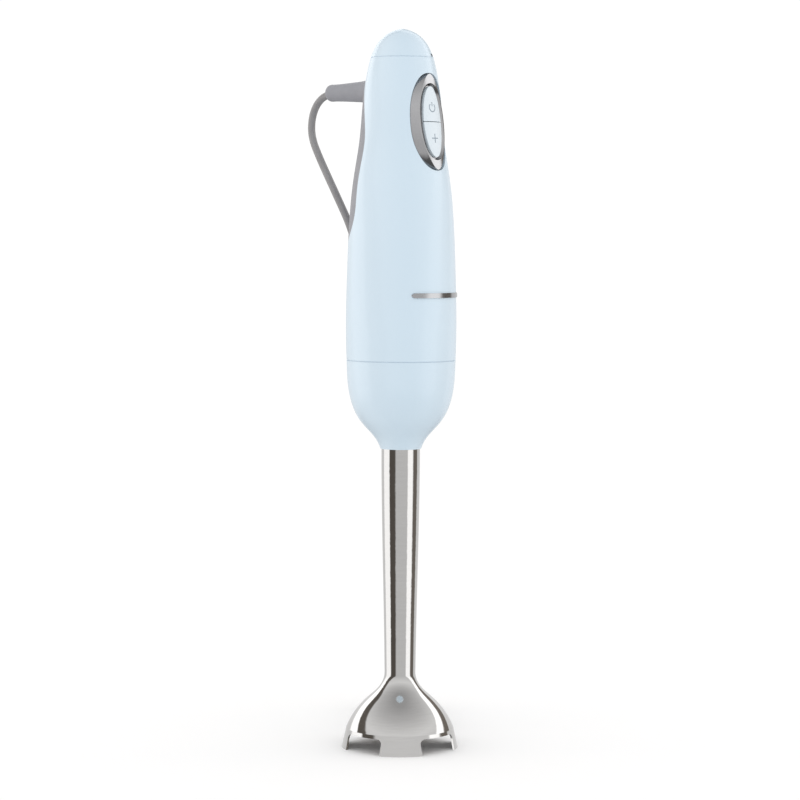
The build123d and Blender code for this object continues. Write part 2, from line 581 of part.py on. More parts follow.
def bearing_carrier():
    """Cone that closes the guard's throat and carries the lower bush and the seal."""
    top, low = CARRIER_LINE[0][1], CARRIER_LINE[-1][1]
    outline = Polyline(*CARRIER_LINE, (0, low), (0, top), close=True)
    body = revolve(make_face(Plane.XZ * outline), Axis.Z)
    body -= tube(0, SEAL[0] + FIT, low - 0.2, SEAL[2] + 0.3)
    body -= tube(0, CARRIER_WAIST, SEAL[2] - 1, top + 1)
    return body - tube(0, LOWER_BUSH[0] + FIT, LOWER_BUSH[1] - 0.1, top + 1)


def drive_shaft():
    return tube(0, SHAFT_R, SHAFT_LOW, SHAFT_TOP) - tube(GROOVE_R, SHAFT_R + 1, *GROOVE)


def blade():
    """Two-winged cutter: one wing bent up, one down."""
    body = tube(0, BLADE_HUB_R, BLADE_LOW, BLADE_LOW + BLADE_THICK)
    wing = extrude(make_face(Polyline(*BLADE_PLAN, close=True)), BLADE_THICK)
    for turn, bend in BLADE_BENDS:
        body += Rot(0, 0, turn) * Pos(0, 0, BLADE_LOW) * Rot(0, bend, 0) * wing
    return body - tube(0, SHAFT_R, BLADE_LOW - 5, BLADE_LOW + 10)


def blade_nut():
    nut = Pos(0, 0, NUT_LOW) * extrude(RegularPolygon(NUT_R, 6), NUT_H)
    return nut - tube(0, SHAFT_R, NUT_LOW - 1, NUT_LOW + NUT_H + 1)


# ---------------------------------------------------------------- cord
def bend_radii(points):
    """Arc at each corner, as large as its two runs allow."""
    out = []
    for a, b, c in zip(points, points[1:], points[2:]):
        u = Vector(*b) - Vector(*a)
        v = Vector(*c) - Vector(*b)
        out.append(0.45 * min(u.length, v.length) / tan(radians(u.get_angle(v)) / 2))
    return out


def cord_tube(points, name):
    radii = bend_radii(points)
    path = FilletPolyline(*points, radius=radii)
    start = Plane(origin=points[0], z_dir=path % 0)
    solid = sweep(start * Circle(CORD_D / 2), path=path)
    expected = pi * (CORD_D / 2) ** 2 * path.length
    print(name, "length", round(path.length, 1), "volume ratio", round(solid.volume / expected, 4),
          "radii", [round(r, 1) for r in radii])
    return solid


def power_cord():
    return cord_tube(ROUTE_HIGH + [on_bearing(p) for p in ROUTE_LOW], "power_cord")


def cord_tail():
    return cord_tube([on_bearing(p) for p in ROUTE_TAIL], "cord_tail")


def waist_block(half_length, half_width, low, high):
    """Box across the hank's waist, where the tie goes round it."""
    ends = (HANK_WAIST - half_length, HANK_WAIST + half_length)
    return block(ends, (-half_width, half_width), (low, high))


def cord_hank():
    """Folded cord: two end loops, drawn in at the waist by its tie."""
    loops = [Pos(x, 0, 0) * tube(0, LOOP_OUT, 0, HANK_TOP) for x in (HANK_NEAR, HANK_FAR)]
    near, far = HANK_NEAR, HANK_FAR
    plan = Polyline((near, LOOP_OUT), (HANK_WAIST, WAIST_B), (far, LOOP_OUT), (far, -LOOP_OUT),
                    (HANK_WAIST, -WAIST_B), (near, -LOOP_OUT), close=True)
    body = loops[0] + loops[1] + extrude(make_face(plan), HANK_TOP)
    body = without(body, [Pos(x, 0, 0) * tube(0, LOOP_HOLE, -1, HANK_TOP + 1) for x in (near, far)])
    groove = waist_block(TIE_L / 2 + 1, FAR_OUT, -1, HANK_TOP + 1)
    groove -= waist_block(TIE_L, WAIST_B, TIE_THICK - 0.2, HANK_TOP - 0.2)
    return lying(body - groove)


def cord_tie():
    band = waist_block(TIE_L / 2, WAIST_B + TIE_THICK, FIT, HANK_TOP + TIE_THICK - 0.4)
    return lying(band - waist_block(TIE_L, WAIST_B + FIT, TIE_THICK - 0.22, HANK_TOP - 0.15))


def plug_body():
    body = block((PLUG_NEAR, PLUG_NEAR + PLUG_L), (-PLUG_W / 2, PLUG_W / 2),
                 (PLUG_LOW, PLUG_LOW + PLUG_H))
    body = fillet(body.edges().filter_by(Axis.X), PLUG_EDGE)
    rear = body.edges().group_by(Axis.X)[0]
    return lying(fillet(rear, PLUG_END_EDGE) - plug_prongs())


def plug_prongs():
    mid = PLUG_LOW + PLUG_H / 2
    end = PLUG_NEAR + PLUG_L
    prongs = [block((end - BLADE_ROOT, end + BLADE_L), (y - BLADE_T / 2, y + BLADE_T / 2),
                    (mid - BLADE_W / 2, mid + BLADE_W / 2))
              for y in (-BLADE_GAP / 2, BLADE_GAP / 2)]
    return prongs[0] + prongs[1]


PARTS = {
    "handle_shell": handle_shell,
    "rear_grip": rear_grip,
    "button_bezel": button_bezel,
    "button_surround": button_surround,
    "power_button": lambda: button(1),
    "turbo_button": lambda: button(-1),
    "name_bar": name_bar,
    "dial_index": dial_index,
    "speed_dial": speed_dial,
    "dial_spindle": dial_spindle,
    "speed_potentiometer": speed_potentiometer,
    "chassis_front": lambda: chassis_half(-1),
    "chassis_rear": lambda: chassis_half(1),
    "foot_socket": foot_socket,
    "socket_screws": socket_screws,
    "motor_can": motor_can,
    "motor_end_cap": motor_end_cap,
    "motor_magnets": magnets,
    "motor_mount_rings": mount_rings,
    "upper_bearing": lambda: bearing(*UPPER_BEARING),
    "lower_bearing": lambda: bearing(*LOWER_BEARING),
    "brush_holders": brush_holders,
    "carbon_brushes": carbon_brushes,
    "brush_springs": brush_springs,
    "rotor_shaft": lambda: tube(0, ROTOR_R, ROTOR_LOW, ROTOR_TOP),
    "rotor_core": rotor_core,
    "rotor_windings": rotor_windings,
    "commutator": commutator,
    "cooling_fan": cooling_fan,
    "drive_dog": drive_dog,
    "control_board": control_board,
    "power_switch": lambda: tact_switch(STEM_V),
    "turbo_switch": lambda: tact_switch(-STEM_V),
    "filter_capacitor": lambda: Pos(0, CAPACITOR[0], 0) * tube(0, *CAPACITOR[1:]),
    "choke_coil": lambda: Pos(0, CHOKE_Y, CHOKE_Z) * Torus(CHOKE_R, CHOKE_WIRE),
    "heat_sink": lambda: block(*SINK),
    "power_transistor": lambda: block(*TRANSISTOR),
    "cord_clamp": cord_clamp,
    "cord_clamp_screws": cord_clamp_screws,
    "inner_lead": inner_lead,
    "strain_relief": strain_relief,
    "power_cord": power_cord,
    "cord_hank": cord_hank,
    "cord_tie": cord_tie,
    "cord_tail": cord_tail,
    "plug_body": plug_body,
    "plug_blades": lambda: lying(plug_prongs()),
    "foot_collar": foot_collar,
    "bayonet_ring": bayonet_ring,
    "shaft_tube": shaft_tube,
    "bell_guard": bell_guard,
    "upper_bush": lambda: tube(SHAFT_R + RUN, *UPPER_BUSH),
    "bearing_carrier": bearing_carrier,
    "lower_bush": lambda: tube(SHAFT_R + RUN, *LOWER_BUSH),
    "shaft_seal": lambda: tube(SHAFT_R + RUN, *SEAL),
    "drive_shaft": drive_shaft,
    "shaft_dog": shaft_dog,
    "circlip": lambda: sector(CLIP_IN, CLIP_R, *CLIP, 0, CLIP_ARC),
    "blade": blade,
    "blade_nut": blade_nut,
}

if __name__ == "__main__":
    os.makedirs("parts", exist_ok=True)
    for name, make in PARTS.items():
        shape = make()
        if isinstance(shape, (list, tuple)):
            shape = Compound(children=list(shape))
        export_step(shape, f"parts/{name}.step")
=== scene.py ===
"""Looks of the immersion blender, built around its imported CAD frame.

Lengths are in metres, apart from the hank, its tie and the plug, which are worked out in millimetres.
"""

from math import cos, hypot, pi, radians, sin, sqrt

import bmesh
import bpy
from mathutils import Matrix, Vector


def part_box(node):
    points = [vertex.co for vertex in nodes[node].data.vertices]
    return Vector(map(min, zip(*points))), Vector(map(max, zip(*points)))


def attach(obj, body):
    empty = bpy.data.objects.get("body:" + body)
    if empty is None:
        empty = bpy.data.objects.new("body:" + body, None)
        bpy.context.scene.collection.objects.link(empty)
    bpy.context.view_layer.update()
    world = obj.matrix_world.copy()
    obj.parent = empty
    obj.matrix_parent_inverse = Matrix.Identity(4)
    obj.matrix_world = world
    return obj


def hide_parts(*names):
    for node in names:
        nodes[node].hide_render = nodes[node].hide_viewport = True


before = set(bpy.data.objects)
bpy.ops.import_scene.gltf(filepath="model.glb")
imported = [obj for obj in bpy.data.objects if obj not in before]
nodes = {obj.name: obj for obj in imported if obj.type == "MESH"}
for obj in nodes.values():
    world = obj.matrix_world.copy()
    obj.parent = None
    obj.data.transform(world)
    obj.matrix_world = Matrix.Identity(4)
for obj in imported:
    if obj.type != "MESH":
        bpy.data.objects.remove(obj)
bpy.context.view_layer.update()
scene = bpy.context.scene

MM = 0.001


# ---------------------------------------------------------------- camera, floor and light
CAMERA_AZIMUTH = -49.0  # degrees from the buttons' side, towards -X
CAMERA_AWAY = 1.453  # from the blender's axis, on the level
CAMERA_HEIGHT = 0.2878
CAMERA_PAN = 0.02  # degrees to the left of the axis
CAMERA_TILT = 3.68  # degrees downwards
CAMERA_ROLL = 0.2
LENS, SENSOR = 117.8, 36.0  # millimetres
WHITE = 1.04  # strength of the studio's light


def add_camera():
    a = radians(CAMERA_AZIMUTH)
    data = bpy.data.cameras.new("camera")
    data.lens = LENS
    data.sensor_width = SENSOR
    camera = bpy.data.objects.new("camera", data)
    scene.collection.objects.link(camera)
    place = Matrix.Translation((CAMERA_AWAY * sin(a), -CAMERA_AWAY * cos(a), CAMERA_HEIGHT))
    heading = Matrix.Rotation(a + radians(CAMERA_PAN), 4, "Z")
    tilt = Matrix.Rotation(radians(90 - CAMERA_TILT), 4, "X")
    roll = Matrix.Rotation(radians(CAMERA_ROLL), 4, "Z")
    camera.matrix_world = place @ (heading @ tilt) @ roll
    scene.camera = camera


def link_nodes(tree, *pairs):
    for a, b in pairs:
        tree.links.new(a, b)


def add_world():
    """Even white light from all round; what shines in the gloss is the dome below."""
    world = bpy.data.worlds.new("studio")
    scene.world = world
    world.use_nodes = True
    background = world.node_tree.nodes["Background"]
    background.inputs["Color"].default_value = (1, 1, 1, 1)
    background.inputs["Strength"].default_value = WHITE
    world.cycles_visibility.glossy = False


def mesh_object(name, bm, smooth=True):
    """Object made of bm's faces, which are used up."""
    mesh = bpy.data.meshes.new(name)
    bmesh.ops.recalc_face_normals(bm, faces=bm.faces)
    bm.to_mesh(mesh)
    bm.free()
    for face in mesh.polygons:
        face.use_smooth = smooth
    obj = bpy.data.objects.new(name, mesh)
    scene.collection.objects.link(obj)
    return obj


def bridge(bm, rings, closed=False):
    """Faces between each ring of points and the next one, and from the last to the first if closed."""
    pairs = list(zip(rings, rings[1:])) + ([(rings[-1], rings[0])] if closed else [])
    for a, b in pairs:
        for k in range(len(a)):
            bm.faces.new((a[k - 1], a[k], b[k], b[k - 1]))


FLOOR_SIZE = 6.0
FLOOR_COLOR = (0.97, 0.97, 0.97)
DOME_RADIUS = 3.6
# what shines from each bearing round the camera's own, towards the picture's right: (degrees, brightness)
STRIPES = [(-180, 0.79), (-122, 0.79), (-116, 1.42), (-73, 1.42), (-69, 0.10), (-35, 0.10),
           (-27, 0.70), (41, 0.70), (46, 1.45), (76, 1.45), (84, 0.17), (114, 0.17),
           (119, 0.80), (180, 0.80)]
DARK, WARMTH = 0.3, 0.12  # stripes darker than this are dark brown rather than grey
STRIPE_LEAN = 2.1  # the stripes lean outwards by this many degrees for each degree above the level
# brightness against height above the level: (degrees, share)
DOME_FADE = [(-90, 0.2), (-24, 0.2), (-13, 1.0), (2, 1.0), (14, 1.15), (32, 1.3), (55, 0.92), (80, 0.62),
             (90, 0.62)]
BRIGHTEST_FADE = max(share for _, share in DOME_FADE)
# level lamps that lighten the sides: (bearing from the camera's own, strength, angular size)
SIDE_LAMPS = [(-90, 0.62, 30), (104, 0.62, 30)]
LAMP_COLOR = (1.0, 0.66, 0.46)


def add_floor():
    bm = bmesh.new()
    bmesh.ops.create_grid(bm, x_segments=1, y_segments=1, size=FLOOR_SIZE / 2)
    floor = mesh_object("floor", bm)
    material = bpy.data.materials.new("floor_white")
    material.use_nodes = True
    shader = material.node_tree.nodes["Principled BSDF"]
    shader.inputs["Base Color"].default_value = (*FLOOR_COLOR, 1)
    shader.inputs["Roughness"].default_value = 0.9
    shader.inputs["Specular IOR Level"].default_value = 0.0
    floor.data.materials.append(material)
    floor.visible_glossy = False


def add_side_lamps():
    for k, (bearing, strength, size) in enumerate(SIDE_LAMPS):
        data = bpy.data.lights.new(f"side_lamp_{k + 1}", "SUN")
        data.energy = strength
        data.color = LAMP_COLOR
        data.angle = radians(size)
        lamp = bpy.data.objects.new(f"side_lamp_{k + 1}", data)
        scene.collection.objects.link(lamp)
        lamp.rotation_euler = (radians(90), 0, radians(CAMERA_AZIMUTH + bearing))
        lamp.visible_glossy = False


def ramp_of(tree, stops_wanted, low, high):
    """Colour ramp over low..high degrees through (degrees, colour) stops."""
    ramp = tree.nodes.new("ShaderNodeValToRGB")
    stops = ramp.color_ramp.elements
    while len(stops) > 1:
        stops.remove(stops[-1])
    for i, (angle, color) in enumerate(stops_wanted):
        stop = stops[0] if i == 0 else stops.new((angle - low) / (high - low))
        stop.color = (*color, 1)
    return ramp


def scaled(tree, low, high):
    """Node that takes low..high degrees, given in radians, to 0..1."""
    node = tree.nodes.new("ShaderNodeMapRange")
    node.inputs["From Min"].default_value = radians(low)
    node.inputs["From Max"].default_value = radians(high)
    return node


def maths(tree, operation, *values):
    """Math node on sockets or numbers."""
    node = tree.nodes.new("ShaderNodeMath")
    node.operation = operation
    for socket, value in zip(node.inputs, values):
        if isinstance(value, (int, float)):
            socket.default_value = value
        else:
            tree.links.new(value, socket)
    return node.outputs[0]


def dome_material():
    material = bpy.data.materials.new("dome_stripes")
    material.use_nodes = True
    tree = material.node_tree
    tree.nodes.clear()
    place = tree.nodes.new("ShaderNodeTexCoord")
    split = tree.nodes.new("ShaderNodeSeparateXYZ")
    tree.links.new(place.outputs["Object"], split.inputs[0])
    x, y, z = split.outputs
    squares = maths(tree, "ADD", maths(tree, "MULTIPLY", x, x), maths(tree, "MULTIPLY", y, y))
    level = maths(tree, "SQRT", squares)
    height = maths(tree, "ARCTAN2", z, level)
    rise = maths(tree, "MAXIMUM", height, 0)
    bearing = maths(tree, "ARCTAN2", y, x)
    lean = maths(tree, "MULTIPLY", rise, STRIPE_LEAN)
    leaned = maths(tree, "SUBTRACT", maths(tree, "ABSOLUTE", bearing), lean)
    lookup = maths(tree, "MULTIPLY", maths(tree, "MAXIMUM", leaned, 0), maths(tree, "SIGN", bearing))
    brightest = max(b for _, b in STRIPES)
    stripes = []
    for angle, bright in STRIPES:
        warm = WARMTH if bright < DARK else 0
        stripes.append((angle, [bright / brightest * tint for tint in (1 + warm, 1, 1 - warm)]))
    ramp = ramp_of(tree, stripes, -180, 180)
    shares = [(angle, [share / BRIGHTEST_FADE] * 3) for angle, share in DOME_FADE]
    fade = ramp_of(tree, shares, -90, 90)
    round_about, upwards = scaled(tree, -180, 180), scaled(tree, -90, 90)
    glow = tree.nodes.new("ShaderNodeEmission")
    out = tree.nodes.new("ShaderNodeOutputMaterial")
    link_nodes(tree, (lookup, round_about.inputs["Value"]), (round_about.outputs[0], ramp.inputs[0]),
               (height, upwards.inputs["Value"]), (upwards.outputs[0], fade.inputs[0]),
               (ramp.outputs[0], glow.inputs["Color"]), (glow.outputs[0], out.inputs["Surface"]))
    strength = maths(tree, "MULTIPLY", fade.outputs[0], brightest * BRIGHTEST_FADE)
    tree.links.new(strength, glow.inputs["Strength"])
    return material


def add_dome():
    """Striped dome round the studio, which only the object's gloss can see."""
    bm = bmesh.new()
    bmesh.ops.create_uvsphere(bm, u_segments=96, v_segments=48, radius=DOME_RADIUS)
    dome = mesh_object("dome", bm)
    dome.rotation_euler.z = radians(CAMERA_AZIMUTH - 90)
    dome.data.materials.append(dome_material())
    for seen in ("camera", "diffuse", "transmission", "volume_scatter", "shadow"):
        setattr(dome, "visible_" + seen, False)


# ---------------------------------------------------------------- materials
NOISE_LOW, NOISE_HIGH = 0.3, 0.7  # the stretch of a noise's values that is used


def finish(name, color, roughness, metallic=0.0, mottle=0.03, mottle_size=0.02, wear=0.06,
           wear_size=0.012, grain=0.0, grain_size=0.0004, stretch=(1, 1, 1), **sockets):
    """A material whose colour, gloss and relief vary a little over the object's own space.

    mottle and wear are how far colour and roughness stray, and grain is the relief's depth in metres.
    """
    material = bpy.data.materials.new(name)
    material.use_nodes = True
    tree = material.node_tree
    shader = tree.nodes["Principled BSDF"]
    shader.inputs["Metallic"].default_value = metallic
    for socket, value in sockets.items():
        shader.inputs[socket.replace("_", " ")].default_value = value
    place = tree.nodes.new("ShaderNodeTexCoord")
    stretched = tree.nodes.new("ShaderNodeMapping")
    stretched.inputs["Scale"].default_value = stretch

    def noise(size, detail):
        node = tree.nodes.new("ShaderNodeTexNoise")
        node.inputs["Scale"].default_value = 1 / size
        node.inputs["Detail"].default_value = detail
        tree.links.new(stretched.outputs[0], node.inputs["Vector"])
        return node

    tint = tree.nodes.new("ShaderNodeValToRGB")
    for stop, share in zip(tint.color_ramp.elements, (1 - mottle, 1 + mottle)):
        stop.color = (*[min(c * share, 1) for c in color], 1)
    tint.color_ramp.elements[0].position = NOISE_LOW
    tint.color_ramp.elements[1].position = NOISE_HIGH
    gloss = tree.nodes.new("ShaderNodeMapRange")
    gloss.inputs["From Min"].default_value = NOISE_LOW
    gloss.inputs["From Max"].default_value = NOISE_HIGH
    gloss.inputs["To Min"].default_value = max(roughness - wear, 0.02)
    gloss.inputs["To Max"].default_value = min(roughness + wear, 1)
    link_nodes(tree, (place.outputs["Object"], stretched.inputs["Vector"]),
               (noise(mottle_size, 3).outputs[0], tint.inputs[0]),
               (tint.outputs[0], shader.inputs["Base Color"]),
               (noise(wear_size, 5).outputs[0], gloss.inputs["Value"]),
               (gloss.outputs[0], shader.inputs["Roughness"]))
    if grain:
        bump = tree.nodes.new("ShaderNodeBump")
        bump.inputs["Strength"].default_value = 1.0
        bump.inputs["Distance"].default_value = grain
        link_nodes(tree, (noise(grain_size, 2).outputs[0], bump.inputs["Height"]),
                   (bump.outputs[0], shader.inputs["Normal"]))
    return material


POLISHED_ROUND = (1, 1, 14)  # polishing marks run round the axis
FINISHES = {
    "sleeve_blue": finish("pale_blue_gloss", (0.60, 0.728, 0.828), 0.4, mottle=0.006, mottle_size=0.05,
                          wear=0.04, grain=0.0000015, grain_size=0.0012, Coat_Weight=0.35,
                          Coat_Roughness=0.06),
    "button_blue": finish("button_blue", (0.66, 0.745, 0.805), 0.3, mottle=0.008, wear=0.04,
                          grain=0.000003, grain_size=0.0006),
    "grip_grey": finish("soft_touch_grey", (0.275, 0.285, 0.315), 0.62, mottle=0.05, mottle_size=0.006,
                        wear=0.05, grain=0.00002, grain_size=0.00035, Sheen_Weight=0.08),
    "cord_grey": finish("cord_grey", (0.262, 0.262, 0.27), 0.42, mottle=0.05, mottle_size=0.01, wear=0.06,
                        grain=0.00001, grain_size=0.0005),
    "chrome": finish("satin_chrome", (0.47, 0.47, 0.48), 0.14, metallic=1.0, mottle=0.02,
                     mottle_size=0.004, wear=0.03, grain=0.0000003, grain_size=0.0006),
    "stainless": finish("polished_stainless", (0.64, 0.63, 0.62), 0.07, metallic=1.0, mottle=0.02,
                        mottle_size=0.01, wear=0.02, wear_size=0.006, grain=0.0000002, grain_size=0.0015,
                        stretch=POLISHED_ROUND),
    "steel": finish("ground_steel", (0.50, 0.50, 0.50), 0.3, metallic=1.0, grain=0.000004,
                    grain_size=0.0008, stretch=POLISHED_ROUND),
    "inner_plastic": finish("dark_plastic", (0.05, 0.05, 0.056), 0.5, grain=0.00001, grain_size=0.0006),
    "white_plastic": finish("natural_plastic", (0.68, 0.67, 0.64), 0.45, grain=0.000008, grain_size=0.0006),
    "board": finish("solder_mask", (0.03, 0.22, 0.10), 0.35, mottle=0.2, mottle_size=0.003, grain=0.00001),
    "copper": finish("enamelled_copper", (0.70, 0.33, 0.17), 0.28, metallic=1.0, mottle=0.12,
                     mottle_size=0.001, grain=0.00004, grain_size=0.0007, stretch=(1, 1, 6)),
    "bronze": finish("sintered_bronze", (0.58, 0.42, 0.22), 0.4, metallic=1.0, mottle=0.1,
                     mottle_size=0.0008, grain=0.00001),
    "magnet": finish("ferrite", (0.09, 0.09, 0.10), 0.6, grain=0.00002),
    "carbon": finish("carbon", (0.04, 0.04, 0.04), 0.55, mottle=0.2, mottle_size=0.0008, grain=0.00001),
    "rubber_black": finish("black_rubber", (0.03, 0.03, 0.032), 0.6, grain=0.00002, grain_size=0.0005),
    "aluminium": finish("anodised_aluminium", (0.72, 0.72, 0.73), 0.3, metallic=1.0, grain=0.000004,
                        stretch=(1, 1, 8)),
}
ICON_GREY = finish("icon_grey", (0.26, 0.32, 0.38), 0.5, mottle=0.04)
SEAM_BLUE = finish("seam_blue", (0.60, 0.72, 0.82), 0.5, mottle=0.02)
PRONG_BRASS = finish("nickel_brass", (0.66, 0.60, 0.48), 0.22, metallic=1.0, mottle=0.04, mottle_size=0.002,
                     grain=0.000003, grain_size=0.0006, stretch=(1, 1, 4))


def paint_cad_nodes():
    """Each CAD node takes the finish of its own material slot."""
    for node in nodes.values():
        for k, material in enumerate(node.data.materials):
            node.data.materials[k] = FINISHES[material.name.split(".")[0]]


def placed(obj, material, body):
    """obj, painted and tied to its body and material slot."""
    obj.data.materials.append(material)
    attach(obj, body)
    return obj


# ---------------------------------------------------------------- seams
# how far the lips under the two seams lie below the skin
UPPER_SEAM_DEEP, LOWER_SEAM_DEEP = 0.07 * MM, 0.2 * MM
SEAM_RING_WIDE = 1.0 * MM
SAME_HEIGHT = 0.01 * MM


def outline_radius(node, z):
    """A CAD node's largest radius at its edge nearest to z."""
    points = [v.co for v in nodes[node].data.vertices]
    edge = min((abs(p.z - z), p.z) for p in points)[1]
    return max(hypot(p.x, p.y) for p in points if abs(p.z - edge) < SAME_HEIGHT)


def add_seam_lip(name, upper, lower, body, deep):
    """Thin ring in the gap between two shells, so that the seam is a shallow line."""
    top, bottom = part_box(upper)[0].z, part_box(lower)[1].z
    radius = min(outline_radius(upper, top), outline_radius(lower, bottom)) - deep
    inside = radius - SEAM_RING_WIDE
    bm = bmesh.new()
    lathe(bm, [(radius, bottom), (radius, top), (inside, top), (inside, bottom)])
    return placed(mesh_object(name, bm), SEAM_BLUE, body)


def lathe(bm, profile, segments=128):
    """Faces of a closed outline of (radius, height), turned round the axis."""
    rings = [[bm.verts.new((r * cos(2 * pi * k / segments), r * sin(2 * pi * k / segments), z))
              for k in range(segments)] for r, z in profile]
    bridge(bm, rings, closed=True)


# ---------------------------------------------------------------- buttons' symbols
PANEL_TILT = radians(7.4)
PANEL_ORIGIN = Vector((0, -0.0233, 0.3479))  # middle of the bezel's crest plane
CROWN_R, CROWN_TOP = 30.0 * MM, -0.35 * MM  # the buttons' crown, from the bezel's crest plane
POWER_V, PLUS_V = 7.8 * MM, -9.1 * MM  # the symbols' middles, up the panel
POWER_R, PLUS_R = 2.3 * MM, 2.45 * MM
POWER_GAP = 40  # half the gap in the power sign's ring, in degrees
POWER_STEP = 10
POWER_BAR = (0.3, 0.8, 1.3)  # the bar's points up from the middle, as shares of the ring's radius
ICON_LINE = 0.55 * MM
ICON_THICK = 0.06 * MM


def on_panel(u, v, w):
    """Panel coordinates to the frame: u to the right seen from the front, v up, w outwards."""
    up = Vector((0, sin(PANEL_TILT), cos(PANEL_TILT)))
    out = Vector((0, -cos(PANEL_TILT), sin(PANEL_TILT)))
    return PANEL_ORIGIN + Vector((u, 0, 0)) + v * up + w * out


def on_crown(u, v, rise):
    """A place at rise over the buttons' crown."""
    return on_panel(u, v, CROWN_TOP - CROWN_R + sqrt(CROWN_R ** 2 - u ** 2) + rise)


def stroke(bm, points, width):
    """A raised line along (u, v) points on the buttons' crown."""
    corners = ((-1, -ICON_THICK), (-1, ICON_THICK), (1, ICON_THICK), (1, -ICON_THICK))
    rows = []
    for k, (u, v) in enumerate(points):
        a, b = points[max(k - 1, 0)], points[min(k + 1, len(points) - 1)]
        along = Vector((b[0] - a[0], b[1] - a[1])).normalized()
        side = Vector((-along.y, along.x)) * width / 2
        rows.append([bm.verts.new(on_crown(u + sign * side.x, v + sign * side.y, rise))
                     for sign, rise in corners])
    bridge(bm, rows)
    for end in (rows[0], rows[-1]):
        bm.faces.new(end)


def add_power_icon():
    """Open ring with a bar through its gap."""
    bm = bmesh.new()
    turns = range(POWER_GAP, 361 - POWER_GAP, POWER_STEP)
    ring = [(POWER_R * sin(radians(a)), POWER_V + POWER_R * cos(radians(a))) for a in turns]
    stroke(bm, ring, ICON_LINE)
    stroke(bm, [(0, POWER_V + share * POWER_R) for share in POWER_BAR], ICON_LINE)
    return placed(mesh_object("power_icon", bm, smooth=False), ICON_GREY, "power_key")


def add_plus_icon():
    bm = bmesh.new()
    steps = [-PLUS_R + PLUS_R * k / 4 for k in range(9)]
    stroke(bm, [(u, PLUS_V) for u in steps], ICON_LINE)
    stroke(bm, [(0, PLUS_V + v) for v in steps], ICON_LINE)
    return placed(mesh_object("boost_icon", bm, smooth=False), ICON_GREY, "turbo_key")


# ---------------------------------------------------------------- cord
CORD_D = 4.2  # millimetres, like all sizes of the hank, the tie and the plug
HANK_BEARING = 49.0  # degrees from the cord's side towards +X, straight away from the camera
HANK_NEAR, HANK_FAR = 61.0, 106.0  # the end loops' middles, out from the axis
HANK_WAIST = (HANK_NEAR + HANK_FAR) / 2

# the cord's route from the strain relief down to the hank, in metres
ROUTE_HIGH = [(0, 0.0460, 0.3657), (0, 0.0553, 0.3656), (0, 0.0634, 0.3610), (0, 0.0679, 0.3527),
              (0, 0.0683, 0.3416), (0, 0.0621, 0.3296), (0.0004, 0.0498, 0.3092),
              (0.0020, 0.0386, 0.2886), (0.0072, 0.0363, 0.2660), (0.0160, 0.0340, 0.2430),
              (0.0244, 0.0294, 0.2190), (0.0286, 0.0260, 0.1910), (0.0292, 0.0250, 0.1500),
              (0.0284, 0.0253, 0.1040)]
# its end, and the tail from the hank to the plug, as (away, side, height) on the hank's bearing
ROUTE_LOW = [(0.0386, 0.0010, 0.0660), (0.0400, 0.0040, 0.0400), (0.0465, 0.0090, 0.0225),
             (0.0545, 0.0136, 0.0172), (0.0630, 0.0166, 0.0146), (0.0710, 0.0146, 0.0114),
             (0.0783, 0.0092, 0.0084)]
ROUTE_TAIL = [(0.0651, -0.0124, 0.0104), (0.0569, -0.0126, 0.0106), (0.0503, -0.0078, 0.0106),
              (0.0478, 0.0, 0.0106), (0.0503, 0.0078, 0.0106), (0.0569, 0.0126, 0.0107),
              (0.0651, 0.0124, 0.0109), (0.0745, 0.0062, 0.0128), (0.0830, 0.0014, 0.0150),
              (0.0910, 0.0, 0.01555)]


def on_bearing(away, side, z):
    """(away, side, height) on the hank's bearing to the frame."""
    b = radians(HANK_BEARING)
    return Vector((away * sin(b) + side * cos(b), away * cos(b) - side * sin(b), z))


# each turn of the hank, in millimetres: (loop radius, half width at the waist, half width between)
OUTER_TURN = (16.8, 6.3, 9.9)
INNER_TURN = (12.6, 2.1, 5.1)
UPPER, LOWER = 6.3, 2.1  # heights of the two layers
LOOP_STEP = 30  # degrees between the points of an end loop
LOOP_POINTS = 8
NET_OUT = 1 / 0.97  # the spline runs inside its own points
RUN_OUT = 9.5  # the points between the waist and the loops


def hank_turn(radii, z_at):
    """One turn's points, from the waist round the far loop and the near one.

    radii and z_at give the turn's sizes and its height by the number of the point.
    """
    half = (HANK_FAR - HANK_NEAR) / 2
    out = []

    def put(away, side):
        out.append(on_bearing((HANK_WAIST + away) * MM, side * MM, z_at(len(out)) * MM))

    def loop(centre, sign):
        for k in range(LOOP_POINTS):
            a = radians(((LOOP_POINTS - 1) / 2 - k) * LOOP_STEP)
            r = radii(len(out))[0] * NET_OUT
            put(centre + sign * r * cos(a), sign * r * sin(a))

    put(0, radii(len(out))[1])
    put(RUN_OUT, radii(len(out))[2])
    loop(half, 1)
    put(RUN_OUT, -radii(len(out))[2])
    put(0, -radii(len(out))[1])
    put(-RUN_OUT, -radii(len(out))[2])
    loop(-half, -1)
    put(-RUN_OUT, radii(len(out))[2])
    return out


def ease(at, start, end, a, b):
    """From a at point start to b at point end."""
    t = min(max((at - start) / (end - start), 0), 1)
    return a + (b - a) * t * t * (3 - 2 * t)


def mixed(t):
    """Sizes of a turn between the outer one and the inner one."""
    return [a + (b - a) * t for a, b in zip(OUTER_TURN, INNER_TURN)]


